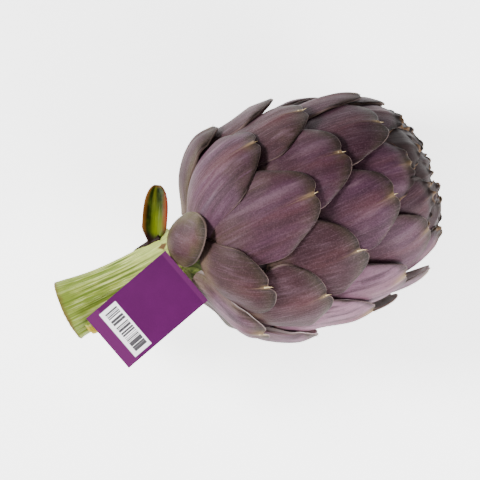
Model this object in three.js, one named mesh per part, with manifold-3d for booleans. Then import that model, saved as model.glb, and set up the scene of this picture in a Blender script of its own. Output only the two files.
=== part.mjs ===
// A globe artichoke lying on its side: a head of overlapping bracts on a cut stem, with one small
// stem leaf and a flat card tag that lies on the stem against the lowest bract.
// Millimetres, +Z up. The head's axis runs along +X, towards the tips. The origin is the middle of the
// small flat spot that the head rests on.
import * as THREE from "three";
import { mergeVertices } from "three/addons/utils/BufferGeometryUtils.js";
import Module from "manifold-3d";

const wasm = await Module();
wasm.setup();

// Driving dimensions of the head. Places along its axis are measured from the neck, where the stem ends.
const HEAD_RADIUS = 53.5; // widest radius of the envelope that the bract tips follow
const HEAD_MIDDLE = 42; // where that widest radius is
const BASE_REACH = 45; // from the middle back to the flat base
const BASE_POWER = 3; // how square the base's profile is
const TOP_REACH = 75; // from the middle to the closed top
const TOP_POWER = 2.25; // how square the top's profile is
const NECK_RISE = 22; // how far the envelope follows the neck back down the stem
const NECK_SPREAD = 20; // degrees round the axis in which it does
const CORE_DEPTH = 5.5; // the solid core lies this far under the envelope
const REST_ALONG = 47; // the resting spot's place along the axis
const AXIS_HEIGHT = 51.0; // height of the head's axis over the surface

// The bracts: each one grows a golden angle on from the one before.
const FIRST_BRACT = -2;
const LAST_BRACT = 56;
const INNER_BRACT = 30; // from here on the bracts are small and need fewer faces
const GOLDEN_ANGLE = 137.24;
const FIRST_AZIMUTH = 159.8; // azimuth of bract 0 round +X, from straight up towards +Y
const CLOSED_LATITUDE = 95; // the latitude that the tips close in on
const OPENING = 133; // how far below that latitude the lowest tips stand
const CLOSING_RATE = 23.5; // bracts in which that opening shrinks to 37%
const LAYER_SLOPE = 0.115; // how much deeper a bract lies for each millimetre below its tip
const BRACT_EDGE = 0.9; // thickness at the free edge
const BRACT_BODY = 5.5; // further thickness at the root
const DEEPEST_ROOT = -72; // latitude below which no root reaches
// Length in degrees of latitude, and half width in millimetres: they grow over the first bracts and shrink
// over the later ones.
const BRACT_SPAN = { first: 36, growth: 14, grown: 11, loss: 18, from: 12, to: 42 };
const BRACT_WIDTH = { first: 15.5, growth: 7, grown: 9, loss: 15.5, from: 20, to: 58 };
const WIDTH_SPREAD = 0.12; // share by which drawn widths differ
const LEAN_SPREAD = 10; // degrees
const TIP_LIFT = 2.2; // how far a tip stands off the layer below
const LIFT_SPREAD = 1.2;
const INNER_FLATTER = { from: 26, to: 56, lift: 0.8, cup: 0.5 }; // the inner bracts lie closer
const CUP = 0.9; // how far the side edges hug the head
const LOWEST_SLOPE = 0.02;
const SLOPE_GROWTH = 0.0028; // per bract, up to the layer slope
const LOWEST_HEEL = 0.78; // width at the root, as a share of the widest
const HEEL_LOSS = 0.23; // by bract 7
const ROUNDING = 0.2; // how far the tip's corners are drawn back, as a share of the length

// Bracts that grew differently from the rule. In degrees: turn round the axis, lean over their length,
// shift of the tip's latitude, latitude of the root. In millimetres: half width, extra lift of the tip.
const INDIVIDUAL = {
  "-1": { lean: -8, lift: 0, root: -74, wide: 12.5 },
  0: { tip: -3 },
  1: { lift: -0.5 },
  2: { tip: 8, turn: 8 },
  4: { lean: -12, tip: -4.5, turn: -12, wide: 19 },
  7: { lean: 16, tip: 1.5 },
  8: { tip: 14, lift: -2.6 },
  10: { tip: 4, lift: 1.5 },
  12: { tip: 1 },
  14: { lift: 1 },
  16: { lift: -2 },
  17: { tip: -3.5 },
  19: { lift: 2 },
  20: { tip: -3 },
  22: { tip: -2 },
  23: { tip: 2, lift: 0.8 },
  27: { tip: 2, lift: 2 },
};

// Stem, measured along the same axis.
const STEM_CUT = -67.9;
const CUT_SLANT = 0.088; // how far the cut's plane leans, per millimetre aside
const STEM_END = -9.3;
const STEM_WAIST = -42;
const WAIST_RADIUS = 12.2;
const CUT_FLARE = 2.4;
const NECK_FLARE = 3.3;
const STEM_RIBS = 11;
const RIB_DEPTH = 0.045; // share of the radius
const RIB_SWAY = 0.6; // radians, over a wave of 25 mm per radian
const SWAY_LENGTH = 25;
const STEM_SKEW = 0.068; // sideways slope of the stem's centre line
const STEM_OFFSET = 1.6; // its sideways place at the neck
const STEM_DROOP = 2.2; // how far its cut end hangs
const GAP = 0.3; // clearance between neighbouring pieces

// Card tag: long side, short side, thickness, and where its upper corner touches the lowest bract.
const TAG_LONG = 48.8;
const TAG_SHORT = 30.6;
const TAG_THICK = 0.7;
const TAG_TURN = 199.6; // direction of its long side
const TAG_CORNER = { along: -13.9, aside: 7.6, rise: 16.7 };
const TAG_FALL = 0.075; // slope along the stem
const TAG_BEND = 0.0026; // curl over the stem, per square millimetre
const TAG_CREST = -3; // where the curl starts

// Small leaf at the side of the stem: its root and tip, how its middle line rises and droops, and how far
// its margins turn up.
const LEAF = { along: -18.4, aside: 12.4, tipAlong: -6.5, tipAside: 37.7, halfWide: 6.2, thick: 1.1 };
const LEAF_LIFT = { root: 5.5, rise: 3.5, droop: 3, dish: 2.2 };

// Torn stub of a lower leaf: its middle along the stem, half length, where it leaves the stem's centre
// line, how far it stands out and up, and its thickness.
const STUB = { along: -57.5, half: 5.5, inside: 11, reach: 5.2, up: 2.5, rise: 2, thick: 1.9, thinning: 0.7 };

const degrees = Math.PI / 180;

// A repeatable draw between 0 and 1 for bract n; kind tells one use from another.
function draw(n, kind) {
  const x = Math.sin(n * 12.9898 + kind * 78.233) * 43758.5453;
  return x - Math.floor(x);
}

const clamp01 = (x) => Math.min(1, Math.max(0, x));
const smooth = (x) => clamp01(x) ** 2 * (3 - 2 * clamp01(x));

// A measure of bract n that grows over the first bracts and shrinks over the later ones.
function changing(rule, n) {
  const growth = rule.growth * smooth((n + 1) / (rule.grown + 1));
  return rule.first + growth - rule.loss * smooth((n - rule.from) / (rule.to - rule.from));
}

// Distance from the head's middle to the envelope, in the direction of a latitude (sine and cosine).
function envelope(sine, cosine) {
  const reach = sine < 0 ? BASE_REACH : TOP_REACH;
  const power = sine < 0 ? BASE_POWER : TOP_POWER;
  const offNeck = Math.acos(Math.min(1, Math.max(-1, -sine))) / degrees;
  const round = (Math.abs(sine) / reach) ** power + (cosine / HEAD_RADIUS) ** power;
  return round ** (-1 / power) + NECK_RISE * Math.exp(-((offNeck / NECK_SPREAD) ** 2));
}

// A place given along the axis from the neck, sideways and up from the axis, in the part's frame.
const placed = (along, aside, up) => new THREE.Vector3(along - REST_ALONG, aside, up + AXIS_HEIGHT);

// A closed mesh geometry as a solid, and back. One that is wound inwards is turned to face out.
function solidOf(geometry) {
  const bare = geometry.clone();
  bare.deleteAttribute("normal");
  bare.deleteAttribute("uv");
  const merged = mergeVertices(bare, 1e-3);
  const vertProperties = new Float32Array(merged.attributes.position.array);
  const triVerts = new Uint32Array(merged.index.array);
  const solid = new wasm.Manifold(new wasm.Mesh({ numProp: 3, vertProperties, triVerts }));
  if (solid.volume() > 0) return solid;
  return new wasm.Manifold(new wasm.Mesh({ numProp: 3, vertProperties, triVerts: triVerts.reverse() }));
}

function geometryOf(solid) {
  const mesh = solid.getMesh();
  const geometry = new THREE.BufferGeometry();
  geometry.setAttribute("position", new THREE.BufferAttribute(mesh.vertProperties, mesh.numProp));
  geometry.setIndex(new THREE.BufferAttribute(mesh.triVerts, 1));
  geometry.computeVertexNormals();
  return geometry;
}

// A closed sheet: point(across, along, side) gives the front (side 0) and back (side 1) faces. Both faces
// are split into triangles alike, and a rim joins them.
function sheet(acrossSteps, alongSteps, point) {
  const columns = acrossSteps.length;
  const rows = alongSteps.length;
  const corners = [];
  for (const side of [0, 1])
    for (const along of alongSteps)
      for (const across of acrossSteps) corners.push(...point(across, along, side).toArray());
  const at = (i, j, side) => side * rows * columns + j * columns + i;
  const faces = [];
  for (let j = 0; j < rows - 1; j++)
    for (let i = 0; i < columns - 1; i++) {
      const quad = [[i, j], [i + 1, j], [i + 1, j + 1], [i, j + 1]];
      const left = i < (columns - 1) / 2;
      const split = left ? [[0, 1, 2], [0, 2, 3]] : [[0, 1, 3], [1, 2, 3]];
      for (const [a, b, c] of split) {
        faces.push(at(...quad[a], 0), at(...quad[b], 0), at(...quad[c], 0));
        faces.push(at(...quad[a], 1), at(...quad[c], 1), at(...quad[b], 1));
      }
    }
  const rim = [];
  for (let i = 0; i < columns - 1; i++) rim.push([i, 0]);
  for (let j = 0; j < rows - 1; j++) rim.push([columns - 1, j]);
  for (let i = columns - 1; i > 0; i--) rim.push([i, rows - 1]);
  for (let j = rows - 1; j > 0; j--) rim.push([0, j]);
  rim.forEach((here, k) => {
    const next = rim[(k + 1) % rim.length];
    faces.push(at(...here, 0), at(...here, 1), at(...next, 1));
    faces.push(at(...here, 0), at(...next, 1), at(...next, 0));
  });
  const geometry = new THREE.BufferGeometry();
  geometry.setAttribute("position", new THREE.Float32BufferAttribute(corners, 3));
  geometry.setIndex(faces);
  return geometry;
}

// Everything that shapes bract n: angles in degrees, lengths in millimetres.
function bract(n) {
  const own = INDIVIDUAL[n] ?? {};
  const tip = CLOSED_LATITUDE - OPENING * Math.exp(-(n + 1) / CLOSING_RATE) + (own.tip ?? 0);
  const inner = smooth((n - INNER_FLATTER.from) / (INNER_FLATTER.to - INNER_FLATTER.from));
  const halfWide = own.wide ?? changing(BRACT_WIDTH, n);
  return {
    azimuth: FIRST_AZIMUTH + GOLDEN_ANGLE * n + (own.turn ?? 0),
    tip,
    root: own.root ?? Math.max(tip - changing(BRACT_SPAN, n), DEEPEST_ROOT),
    halfWide: halfWide * (1 + WIDTH_SPREAD * (draw(n, 1) - 0.5)),
    lean: own.lean ?? LEAN_SPREAD * (draw(n, 2) - 0.5),
    lift: TIP_LIFT + LIFT_SPREAD * draw(n, 3) + (own.lift ?? 0) - INNER_FLATTER.lift * inner,
    cup: CUP - INNER_FLATTER.cup * inner,
    slope: Math.min(LAYER_SLOPE, LOWEST_SLOPE + SLOPE_GROWTH * (n + 1)),
    heel: LOWEST_HEEL - HEEL_LOSS * smooth((n + 1) / 8),
  };
}

// Bract n as a solid: a broad scale with a blunt, pointed tip, thin at its free edges and sunk in the core
// at its root. Along runs from 0 at the root to 1 at the tip, across from -1 to 1.
function bractSolid(n) {
  const b = bract(n);
  const across = n < INNER_BRACT ? [-1, -0.55, 0, 0.55, 1] : [-1, 0, 1];
  const along = n < INNER_BRACT ? [0, 0.4, 0.7, 0.88, 1] : [0, 0.5, 0.85, 1];
  const length = (b.tip - b.root) * degrees * HEAD_RADIUS * 1.08;
  const point = (u, v, side) => {
    const reach = v * (1 - ROUNDING * Math.abs(u) ** 2.2 * v * v);
    const latitude = (b.root + (b.tip - b.root) * reach) * degrees;
    const azimuth = (b.azimuth + b.lean * (reach - 0.6)) * degrees;
    const rising = b.heel + (1 - b.heel) * Math.sin((Math.PI / 2) * (v / 0.7));
    const swell = v < 0.7 ? rising : 1 - 2 * (v - 0.7) ** 2;
    const turn = (u * b.halfWide * swell) / envelope(Math.sin(latitude), Math.cos(latitude));
    const radial = new THREE.Vector3(0, Math.sin(azimuth), Math.cos(azimuth));
    const ahead = new THREE.Vector3(Math.sin(latitude), 0, 0).addScaledVector(radial, Math.cos(latitude));
    const beside = new THREE.Vector3(0, Math.cos(azimuth), -Math.sin(azimuth));
    const direction = ahead.multiplyScalar(Math.cos(turn)).addScaledVector(beside, Math.sin(turn));
    const lifted = b.lift * smooth((v - 0.45) / 0.55) * (1 - 0.35 * u * u);
    const buried = b.slope * (length * (1 - reach) + 19 * (1 - v) ** 3) + b.cup * u * u - lifted;
    const thick = side * (BRACT_EDGE + BRACT_BODY * (1 - v) * (1 - 0.4 * u * u));
    const cosine = Math.hypot(direction.y, direction.z);
    const distance = envelope(direction.x, cosine) - buried - thick;
    return placed(HEAD_MIDDLE + direction.x * distance, direction.y * distance, direction.z * distance);
  };
  return solidOf(sheet(across, along, point));
}

// The core under the bracts, with the neck that the stem meets.
function headCore() {
  const neck = [
    [STEM_END + GAP, 0],
    [STEM_END + GAP, 15.3],
    [-7, 17.2],
    [-4, 20.5],
    [-1, 25],
    [2.5, 30],
  ];
  const profile = neck.map(([along, radius]) => new THREE.Vector2(radius, along));
  for (let latitude = -45; latitude <= 90; latitude += 15) {
    const sine = Math.sin(latitude * degrees);
    const cosine = latitude === 90 ? 0 : Math.cos(latitude * degrees);
    const distance = envelope(sine, cosine) - CORE_DEPTH;
    profile.push(new THREE.Vector2(cosine * distance, HEAD_MIDDLE + sine * distance));
  }
  const geometry = new THREE.LatheGeometry(profile, 28);
  geometry.rotateZ(-Math.PI / 2);
  geometry.translate(-REST_ALONG, 0, AXIS_HEIGHT);
  return solidOf(geometry);
}

// Centre line and radius of the stem at a place along the axis.
const stemAside = (along) => STEM_OFFSET + STEM_SKEW * (along + 5.5);
const stemUp = (along) => -STEM_DROOP * (clamp01((STEM_END - along) / (STEM_END - STEM_CUT)) ** 1.5);
function stemRadius(along) {
  const toCut = clamp01((STEM_WAIST - along) / (STEM_WAIST - STEM_CUT));
  const toNeck = clamp01((along - STEM_WAIST) / (STEM_END - STEM_WAIST));
  return WAIST_RADIUS + CUT_FLARE * toCut ** 1.6 + NECK_FLARE * toNeck ** 2.2;
}

// The ribbed stem as rings of points along its centre line, closed by flat ends. A grown one, for
// cutting its seat, is thicker and longer by the gap.
function stemShape(grown = 0) {
  const sides = STEM_RIBS * 4;
  const rounded = 0.8;
  const stations = [STEM_CUT, STEM_CUT + rounded, -60, -52, STEM_WAIST, -32, -24, -17, -12.5, STEM_END];
  const corners = [];
  stations.forEach((along, row) => {
    const trim = row === 0 ? rounded : 0;
    const slant = row < 2 ? CUT_SLANT : 0;
    for (let k = 0; k < sides; k++) {
      const angle = (k / sides) * 2 * Math.PI;
      const rib = 1 + RIB_DEPTH * Math.cos(STEM_RIBS * angle + RIB_SWAY * Math.sin(along / SWAY_LENGTH));
      const radius = (stemRadius(along) - trim) * rib + grown;
      const place = placed(
        along - slant * radius * Math.sin(angle) + (row === stations.length - 1 ? grown : 0),
        stemAside(along) + radius * Math.sin(angle),
        stemUp(along) + radius * Math.cos(angle),
      );
      corners.push(...place.toArray());
    }
  });
  const ends = [STEM_CUT, STEM_END + grown];
  for (const along of ends) corners.push(...placed(along, stemAside(along), stemUp(along)).toArray());
  const faces = [];
  for (let row = 0; row < stations.length - 1; row++)
    for (let k = 0; k < sides; k++) {
      const a = row * sides + k;
      const b = row * sides + ((k + 1) % sides);
      faces.push(a, a + sides, b + sides, a, b + sides, b);
    }
  const centre = stations.length * sides;
  for (let k = 0; k < sides; k++) {
    const next = (k + 1) % sides;
    const last = (stations.length - 1) * sides;
    faces.push(centre, k, next);
    faces.push(centre + 1, last + next, last + k);
  }
  const geometry = new THREE.BufferGeometry();
  geometry.setAttribute("position", new THREE.Float32BufferAttribute(corners, 3));
  geometry.setIndex(faces);
  return solidOf(geometry);
}

// The torn stub of a lower leaf: a thin wing along the side of the stem, sunk in it.
function stemStub() {
  const rows = [0, 0.5, 1];
  const columns = [-1, -0.4, 0.4, 1];
  const geometry = sheet(columns, rows, (u, v, side) => {
    const along = STUB.along + u * (STUB.half - 2 * v);
    const aside = stemAside(along) - STUB.inside - STUB.reach * v * (1 - 0.25 * u * u);
    const up = stemUp(along) + STUB.up + STUB.rise * v;
    return placed(along, aside, up - side * (STUB.thick - STUB.thinning * v));
  });
  return solidOf(geometry);
}

// The small spoon-shaped leaf that stands out from the side of the stem: a narrow heel, then an oval.
function stemLeafShape() {
  const columns = [-1, -0.6, 0, 0.6, 1];
  const rows = [0, 0.15, 0.35, 0.6, 0.8, 0.93, 1];
  const forward = new THREE.Vector2(LEAF.tipAlong - LEAF.along, LEAF.tipAside - LEAF.aside);
  const length = forward.length();
  forward.normalize();
  const geometry = sheet(columns, rows, (u, v, side) => {
    const heel = 0.95 - 2.5 * v * (0.3 - v);
    const wide = v < 0.3 ? heel : Math.sqrt(1.02 - ((v - 0.45) / 0.56) ** 2);
    const aheadBy = v * length;
    const sideways = -u * LEAF.halfWide * wide;
    const along = LEAF.along + forward.x * aheadBy - forward.y * sideways;
    const aside = LEAF.aside + forward.y * aheadBy + forward.x * sideways;
    const up = LEAF_LIFT.root + LEAF_LIFT.rise * v + LEAF_LIFT.dish * u * u * wide - LEAF_LIFT.droop * v * v;
    return placed(along, aside, up - side * LEAF.thick);
  });
  return solidOf(geometry);
}

// The card tag: a flat sheet that follows the stem's slope and curls down a little past its crest. A grown
// one, for cutting its clearance, is larger by the gap all round.
function tagShape(grown = 0) {
  const steps = (count) => Array.from({ length: count + 1 }, (_, k) => k / count);
  const turn = TAG_TURN * degrees;
  const longWay = [Math.cos(turn), Math.sin(turn)];
  const shortWay = [-longWay[1], longWay[0]];
  const geometry = sheet(steps(5), steps(8), (u, v, side) => {
    const aheadBy = v * (TAG_LONG + 2 * grown) - grown;
    const sideways = u * (TAG_SHORT + 2 * grown) - grown;
    const along = TAG_CORNER.along + longWay[0] * aheadBy + shortWay[0] * sideways;
    const aside = TAG_CORNER.aside + longWay[1] * aheadBy + shortWay[1] * sideways;
    const curl = TAG_BEND * Math.min(0, aside - TAG_CREST) ** 2;
    const up = TAG_CORNER.rise + TAG_FALL * (along - TAG_CORNER.along) - curl;
    return placed(along, aside, up - grown + (1 - side) * (TAG_THICK + 2 * grown));
  });
  return solidOf(geometry);
}

// The surface that the head rests on, as a slab that trims it flat.
function restingSlab() {
  const slab = new THREE.BoxGeometry(400, 400, 40);
  slab.translate(0, 0, -20);
  return solidOf(slab);
}

// All bracts and the core in one solid, seated round the stem and flat where it rests.
function headShape() {
  let head = headCore();
  for (let n = FIRST_BRACT; n <= LAST_BRACT; n++) head = head.add(bractSolid(n));
  const trimmed = largest(head.subtract(stemShape(GAP)).subtract(tagShape(GAP)).subtract(restingSlab()));
  return largest(solidOf(geometryOf(trimmed)));
}

// The largest body of a solid, without the loose scraps and sealed hollows that joining left. The head is
// sorted twice, because merging its closest vertices pinches a few slivers off.
function largest(solid) {
  const bodies = solid.decompose();
  return bodies.reduce((best, body) => (body.volume() > best.volume() ? body : best));
}

const looks = {
  head: { color: 0x6b4a5c, roughness: 0.62, metalness: 0 },
  stem: { color: 0x9aa864, roughness: 0.7, metalness: 0 },
  stem_leaf: { color: 0x6f6f1e, roughness: 0.6, metalness: 0 },
  tag: { color: 0x5e2260, roughness: 0.4, metalness: 0 },
};

function piece(name, solid) {
  const mesh = new THREE.Mesh(geometryOf(solid), new THREE.MeshStandardMaterial(looks[name]));
  mesh.name = name;
  return mesh;
}

const artichoke = new THREE.Group();
artichoke.name = "artichoke";
artichoke.add(piece("head", headShape()));
artichoke.add(piece("stem", stemShape().add(stemStub())));
artichoke.add(piece("stem_leaf", stemLeafShape().subtract(stemShape(GAP))));
artichoke.add(piece("tag", tagShape()));

export default artichoke;
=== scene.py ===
# %% [markdown]
# # A globe artichoke lying on its side
# An artichoke is a flower bud. Stiff scales, called bracts, overlap round it like roof tiles, and each
# one grows a golden angle further round the axis than the one before. This lesson takes the solid model
# as its frame and dresses it: fine bracts with notched, spiny tips, a ribbed stem with a cut end, a small
# spoon-shaped leaf, and a card tag. Lengths in the formulas are millimetres, and meshes are metres.

# %% The frame
import math
from types import SimpleNamespace

import bpy
import numpy as np
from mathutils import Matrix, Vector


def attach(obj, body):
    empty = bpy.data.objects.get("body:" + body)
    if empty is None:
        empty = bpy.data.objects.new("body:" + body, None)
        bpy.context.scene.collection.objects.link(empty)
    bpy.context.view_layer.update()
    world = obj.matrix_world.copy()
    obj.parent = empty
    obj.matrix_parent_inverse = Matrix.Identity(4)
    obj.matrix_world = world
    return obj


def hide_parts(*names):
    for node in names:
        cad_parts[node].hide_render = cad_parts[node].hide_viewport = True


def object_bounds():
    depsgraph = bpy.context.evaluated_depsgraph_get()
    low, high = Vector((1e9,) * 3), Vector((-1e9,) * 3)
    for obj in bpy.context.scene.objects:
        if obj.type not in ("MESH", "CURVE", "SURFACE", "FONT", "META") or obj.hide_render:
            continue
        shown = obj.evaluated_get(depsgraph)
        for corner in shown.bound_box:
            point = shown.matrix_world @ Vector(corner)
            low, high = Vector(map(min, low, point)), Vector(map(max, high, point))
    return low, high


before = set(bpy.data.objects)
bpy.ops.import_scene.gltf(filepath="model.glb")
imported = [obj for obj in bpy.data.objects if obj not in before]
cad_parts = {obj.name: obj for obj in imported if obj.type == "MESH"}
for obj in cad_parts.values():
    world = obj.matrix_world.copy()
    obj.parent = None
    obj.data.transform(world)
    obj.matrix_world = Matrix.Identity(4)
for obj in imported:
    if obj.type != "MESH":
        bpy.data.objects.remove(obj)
cad_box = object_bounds()
MM = 0.001
BOX_LOW = np.array(cad_box[0]) / MM
BOX_HIGH = np.array(cad_box[1]) / MM
print("nodes in the frame:", sorted(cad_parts))
print("box of the solids, mm:", BOX_LOW.round(1), BOX_HIGH.round(1))

# %% [markdown]
# The camera looks straight down from far away through a long lens, as a camera over a product table
# does, so that near and far parts look the same size. It is turned so that the artichoke's axis points
# 21 degrees up to the right. The lens follows from the width that it has to see at the axis' height. The
# frame's origin is the spot that the head rests on, 47 mm up the head from the neck and 51 mm under the
# axis.

# %% The camera
AXIS_HEIGHT = 51.0
REST_ALONG = 47
VIEW_TURN = math.radians(21)
VIEW_CENTRE = (20.4 - REST_ALONG, -0.3)
VIEW_WIDTH = 225.6
CAMERA_DISTANCE = 2400
SENSOR_WIDTH = 36

camera = bpy.data.objects.new("camera", bpy.data.cameras.new("camera"))
bpy.context.scene.collection.objects.link(camera)
camera.data.sensor_width = SENSOR_WIDTH
camera.data.lens = SENSOR_WIDTH * CAMERA_DISTANCE / VIEW_WIDTH
camera.location = (VIEW_CENTRE[0] * MM, VIEW_CENTRE[1] * MM, (AXIS_HEIGHT + CAMERA_DISTANCE) * MM)
camera.rotation_euler = (0, 0, -VIEW_TURN)
bpy.context.scene.camera = camera
print(f"lens {camera.data.lens:.0f} mm over {VIEW_WIDTH} mm of table")

# %% [markdown]
# Light for a packshot is broad and soft. The key panel stands on the left and far side, so that each bract
# tip throws its shade towards the closed top. A low panel on the right of the near side lifts the lower
# right of the head, which would otherwise go dark. Two weak ones, at the near left and overhead, soften
# what is left, and a faint bluish room closes the gaps. Point lights would draw hard, small highlights.

# %% The light
ROOM_COLOR = (0.93, 0.95, 1.0, 1)
ROOM_STRENGTH = 0.09


def panel(name, place, size, watts):
    """A square area light at place, in millimetres, that faces the head."""
    light = bpy.data.lights.new(name, "AREA")
    light.shape = "SQUARE"
    light.size = size * MM
    light.energy = watts
    lamp = bpy.data.objects.new(name, light)
    lamp.location = [value * MM for value in place]
    towards = np.array([0, 0, AXIS_HEIGHT]) - np.array(place)
    flat = math.hypot(towards[0], towards[1])
    bearing = math.atan2(towards[1], towards[0]) - math.pi / 2
    lamp.rotation_euler = (math.atan2(flat, -towards[2]), 0, bearing)
    bpy.context.scene.collection.objects.link(lamp)


panel("key_panel", place=(-620, 380, 560), size=260, watts=18)
panel("near_panel", place=(-420, -620, 560), size=440, watts=2.6)
panel("right_panel", place=(380, -640, 340), size=420, watts=17)
panel("top_panel", place=(-60, 0, 950), size=420, watts=2)

world = bpy.data.worlds.new("pale_room")
bpy.context.scene.world = world
world.use_nodes = True
room = world.node_tree.nodes["Background"]
room.inputs["Color"].default_value = ROOM_COLOR
room.inputs["Strength"].default_value = ROOM_STRENGTH
print("four soft panels in a pale room")

# %% [markdown]
# Every shape below is a grid of points worked out at once as numpy arrays. Sculpting or box modelling
# could make one bract, but a formula makes 59 that all differ. Two helpers turn grids into closed meshes:
# a sheet has a front grid and a back grid joined round the rim, and a tube has rings joined lengthwise
# with a fan of triangles closing each end. Values that the finish needs, such as how far a point is from
# the midrib, travel with the points.

# %% Meshes from grids
def shape(points, faces, values):
    """A part of a mesh: its points, its faces as arrays of corners, and one array per named value."""
    flat = {name: np.ravel(value) for name, value in values.items()}
    return {"points": points.reshape(-1, 3), "faces": faces, "values": flat}


def grid_quads(rows, columns, around=False):
    """The quads of a grid of points; with around, the last column joins the first."""
    i = np.arange(columns if around else columns - 1)
    j = np.arange(rows - 1)
    j, i = np.meshgrid(j, i, indexing="ij")
    after = (i + 1) % columns
    this_row, next_row = j * columns, (j + 1) * columns
    quads = np.stack([this_row + i, this_row + after, next_row + after, next_row + i], -1)
    return quads.reshape(-1, 4)


def closed_sheet(front, back, values):
    """A sheet with thickness: the front grid, the back grid turned over, and a strip round the rim."""
    rows, columns, _ = front.shape
    quads = grid_quads(rows, columns)
    offset = rows * columns
    at = np.arange(offset).reshape(rows, columns)
    rim = np.concatenate([at[0, :-1], at[:-1, -1], at[-1, :0:-1], at[:0:-1, 0]])
    ahead = np.roll(rim, -1)
    strip = np.stack([ahead, rim, rim + offset, ahead + offset], -1)
    both = {name: np.concatenate([value.ravel(), value.ravel()]) for name, value in values.items()}
    both["back"] = np.repeat([0.0, 1.0], offset)
    points = np.concatenate([front.reshape(-1, 3), back.reshape(-1, 3)])
    return shape(points, [quads, quads[:, ::-1] + offset, strip], both)


def closed_tube(rings, values):
    """Rings of points joined lengthwise, with the middle of the first and last ring closing the ends."""
    rows, columns, _ = rings.shape
    quads = grid_quads(rows, columns, around=True)
    first, last = rows * columns, rows * columns + 1
    k = np.arange(columns)
    after = (k + 1) % columns
    last_row = (rows - 1) * columns
    start = np.stack([np.full(columns, first), after, k], -1)
    end = np.stack([np.full(columns, last), k + last_row, after + last_row], -1)
    middles = np.stack([rings[0].mean(0), rings[-1].mean(0)])
    extended = {name: np.concatenate([value.ravel(), [value[0].mean(), value[-1].mean()]])
                for name, value in values.items()}
    return shape(np.concatenate([rings.reshape(-1, 3), middles]), [quads, start, end], extended)


print("a grid of 3 by 4 points has", len(grid_quads(3, 4)), "quads")

# %% [markdown]
# A closed part tells by the sign of its volume whether its faces look out or in, so each one is turned
# the right way before it joins its piece. A piece is one object: it sits at the origin with its place in
# its mesh, rides on the body of the frame and hides the solid that it stands for.

# %% Pieces from parts
def volume(part):
    """Signed volume of a closed part: the sum of corner . (next x next) over its triangles, over six."""
    total = 0.0
    for faces in part["faces"]:
        a = part["points"][faces[:, 0]]
        for k in range(1, faces.shape[1] - 1):
            b, c = part["points"][faces[:, k]], part["points"][faces[:, k + 1]]
            total += np.einsum("ij,ij->", a, np.cross(b, c))
    return total / 6


def outward(part):
    """The same part with its faces pointing out."""
    if volume(part) < 0:
        part["faces"] = [faces[:, ::-1] for faces in part["faces"]]
    return part


def piece(name, parts, node, material):
    """One object from several closed parts, in metres, that stands for a node of the frame."""
    points, faces, start = [], [], 0
    for part in map(outward, parts):
        points.append(part["points"])
        faces += [row for group in part["faces"] for row in (group + start).tolist()]
        start += len(part["points"])
    points = np.clip(np.concatenate(points), BOX_LOW, BOX_HIGH) * MM
    mesh = bpy.data.meshes.new(name)
    mesh.from_pydata(points.tolist(), [], faces)
    for value in parts[0]["values"]:
        layer = mesh.attributes.new(value, "FLOAT", "POINT")
        layer.data.foreach_set("value", np.concatenate([part["values"][value] for part in parts]))
    mesh.shade_smooth()
    mesh.materials.append(material)
    made = bpy.data.objects.new(name, mesh)
    bpy.context.scene.collection.objects.link(made)
    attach(made, "root")
    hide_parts(node)
    triangles = sum(len(face) - 2 for face in faces)
    print(f"{name}: {triangles} triangles, from {points.min(0).round(4)} to {points.max(0).round(4)}")


low_side = np.stack([*np.meshgrid([0.0, 1.0], [0.0, 1.0], indexing="ij"), np.zeros((2, 2))], -1)
print("a cube of 1 mm holds", volume(outward(closed_sheet(low_side + [0, 0, 1], low_side, {}))), "cubic mm")

# %% [markdown]
# A material in Blender is a tree of nodes. Written as plain sums it reads better, so a small class holds
# one output socket and gives it Python's operators: each one adds a Math node.

# %% Shader maths as Python
class Value:
    """One output of a shader node. Sums on it add Math nodes to the same tree."""

    def __init__(self, paint, socket):
        self.paint = paint
        self.socket = socket

    def math(self, operation, *others):
        """A Math node with this value as its first input."""
        inputs = {0: self, **dict(enumerate(others, 1))}
        return self.paint.node("ShaderNodeMath", {"operation": operation}, inputs)

    def __add__(self, other):
        return self.math("ADD", other)

    def __mul__(self, other):
        return self.math("MULTIPLY", other)

    def __sub__(self, other):
        return self.math("SUBTRACT", other)

    def __rsub__(self, other):
        return self.paint.node("ShaderNodeMath", {"operation": "SUBTRACT"}, {0: other, 1: self})

    def __truediv__(self, other):
        return self.math("DIVIDE", other)

    def __abs__(self):
        return self.math("ABSOLUTE")

    __radd__ = __add__
    __rmul__ = __mul__


print("a Value has", sum(map(callable, vars(Value).values())), "methods")

# %% [markdown]
# A second class is the material under construction. Its colour grows as a painter's does: a ground first,
# then thin layers, each laid through a mask. Colours go through Mix nodes, because a Math node would turn
# them grey. Only colour, roughness and relief vary, and the constants stay on the shader's own sockets.

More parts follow.
